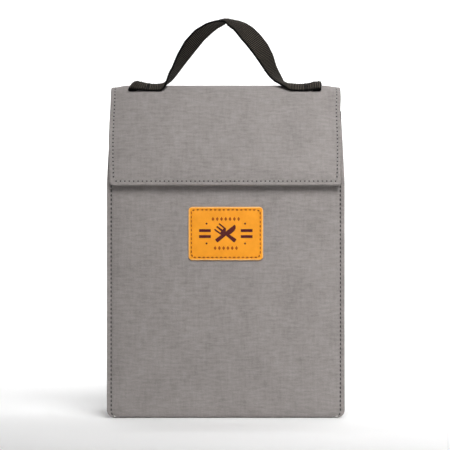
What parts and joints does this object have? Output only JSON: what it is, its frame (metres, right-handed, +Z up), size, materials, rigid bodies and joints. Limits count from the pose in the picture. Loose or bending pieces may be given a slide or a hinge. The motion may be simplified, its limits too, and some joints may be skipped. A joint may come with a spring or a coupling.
{
  "type": "insulated lunch bag",
  "caption": "Padded fabric lunch bag with a fold-over flap held by hook-and-loop tape, a foil lining, a leather patch and a webbing handle on its ridge.",
  "frame": {"origin": "centre of the base, on the surface that the bag stands on", "axes": "+Z up, -Y out of the front, +X to the right when the front is looked at"},
  "size_m": [0.223, 0.1202, 0.3805],
  "materials": {
    "shell_fabric": "matt coated paper-like canvas, warm grey",
    "padding": "closed-cell foam sheet, off-white",
    "foil_lining": "silver foil film on a woven backing, satin",
    "stiffener": "plain board",
    "binding_tape": "grosgrain tape, dark grey",
    "closure_tape": "hook-and-loop tape, black",
    "webbing": "ribbed webbing, black",
    "black_thread": "twisted polyester thread",
    "grey_thread": "twisted polyester thread",
    "patch_leather": "smooth tan-orange leather",
    "brown_thread": "twisted polyester thread"
  },
  "bodies": {
    "body": {"front_panel": "shell_fabric", "back_panel": "shell_fabric", "left_gusset": "shell_fabric", "right_gusset": "shell_fabric", "base_panel": "shell_fabric", "front_foam": "padding", "back_foam": "padding", "left_foam": "padding", "right_foam": "padding", "base_foam": "padding", "base_board": "stiffener", "liner_tub": "foil_lining", "left_gusset_tuck": "shell_fabric", "right_gusset_tuck": "shell_fabric", "body_edge_threads": "grey_thread", "patch": "patch_leather", "patch_thread": "brown_thread"},
    "front_lip": {"front_lip_panel": "shell_fabric", "front_lip_foam": "padding", "front_lip_lining": "foil_lining", "front_lip_binding": "binding_tape", "hook_tape": "closure_tape"},
    "back_lip": {"back_lip_panel": "shell_fabric", "back_lip_foam": "padding", "back_lip_lining": "foil_lining"},
    "flap": {"flap_panel": "shell_fabric", "flap_foam": "padding", "flap_lining": "foil_lining", "flap_threads": "grey_thread", "loop_tape": "closure_tape", "handle_left_tab": "webbing", "handle_right_tab": "webbing", "handle_tab_threads": "black_thread"},
    "handle": {"handle_loop": "webbing"}
  },
  "joints": [
    {"name": "front_lip_spread", "type": "hinge", "parent": "body", "child": "front_lip", "pos_m": [0, -0.055, 0.225], "axis": [1, 0, 0], "range_deg": [0, 28.7], "deforming": ["left_gusset_tuck", "right_gusset_tuck"]},
    {"name": "back_lip_spread", "type": "hinge", "parent": "body", "child": "back_lip", "pos_m": [0, 0.055, 0.225], "axis": [-1, 0, 0], "range_deg": [0, 28.7], "deforming": ["left_gusset_tuck", "right_gusset_tuck"]},
    {"name": "flap_fold", "type": "hinge", "parent": "back_lip", "child": "flap", "pos_m": [0, 0.01089, 0.30564], "axis": [-1, 0, 0], "range_deg": [0, 125]},
    {"name": "handle_fold", "type": "hinge", "parent": "flap", "child": "handle", "pos_m": [0, -0.0049, 0.33], "axis": [-1, 0, 0], "range_deg": [-110, 35], "stiffness_Nm_per_rad": 0.02}
  ],
  "couplings": [
    {"joint": "front_lip_spread", "follows": "flap_fold", "ratio": 0.2294},
    {"joint": "back_lip_spread", "follows": "flap_fold", "ratio": 0.2294}
  ]
}
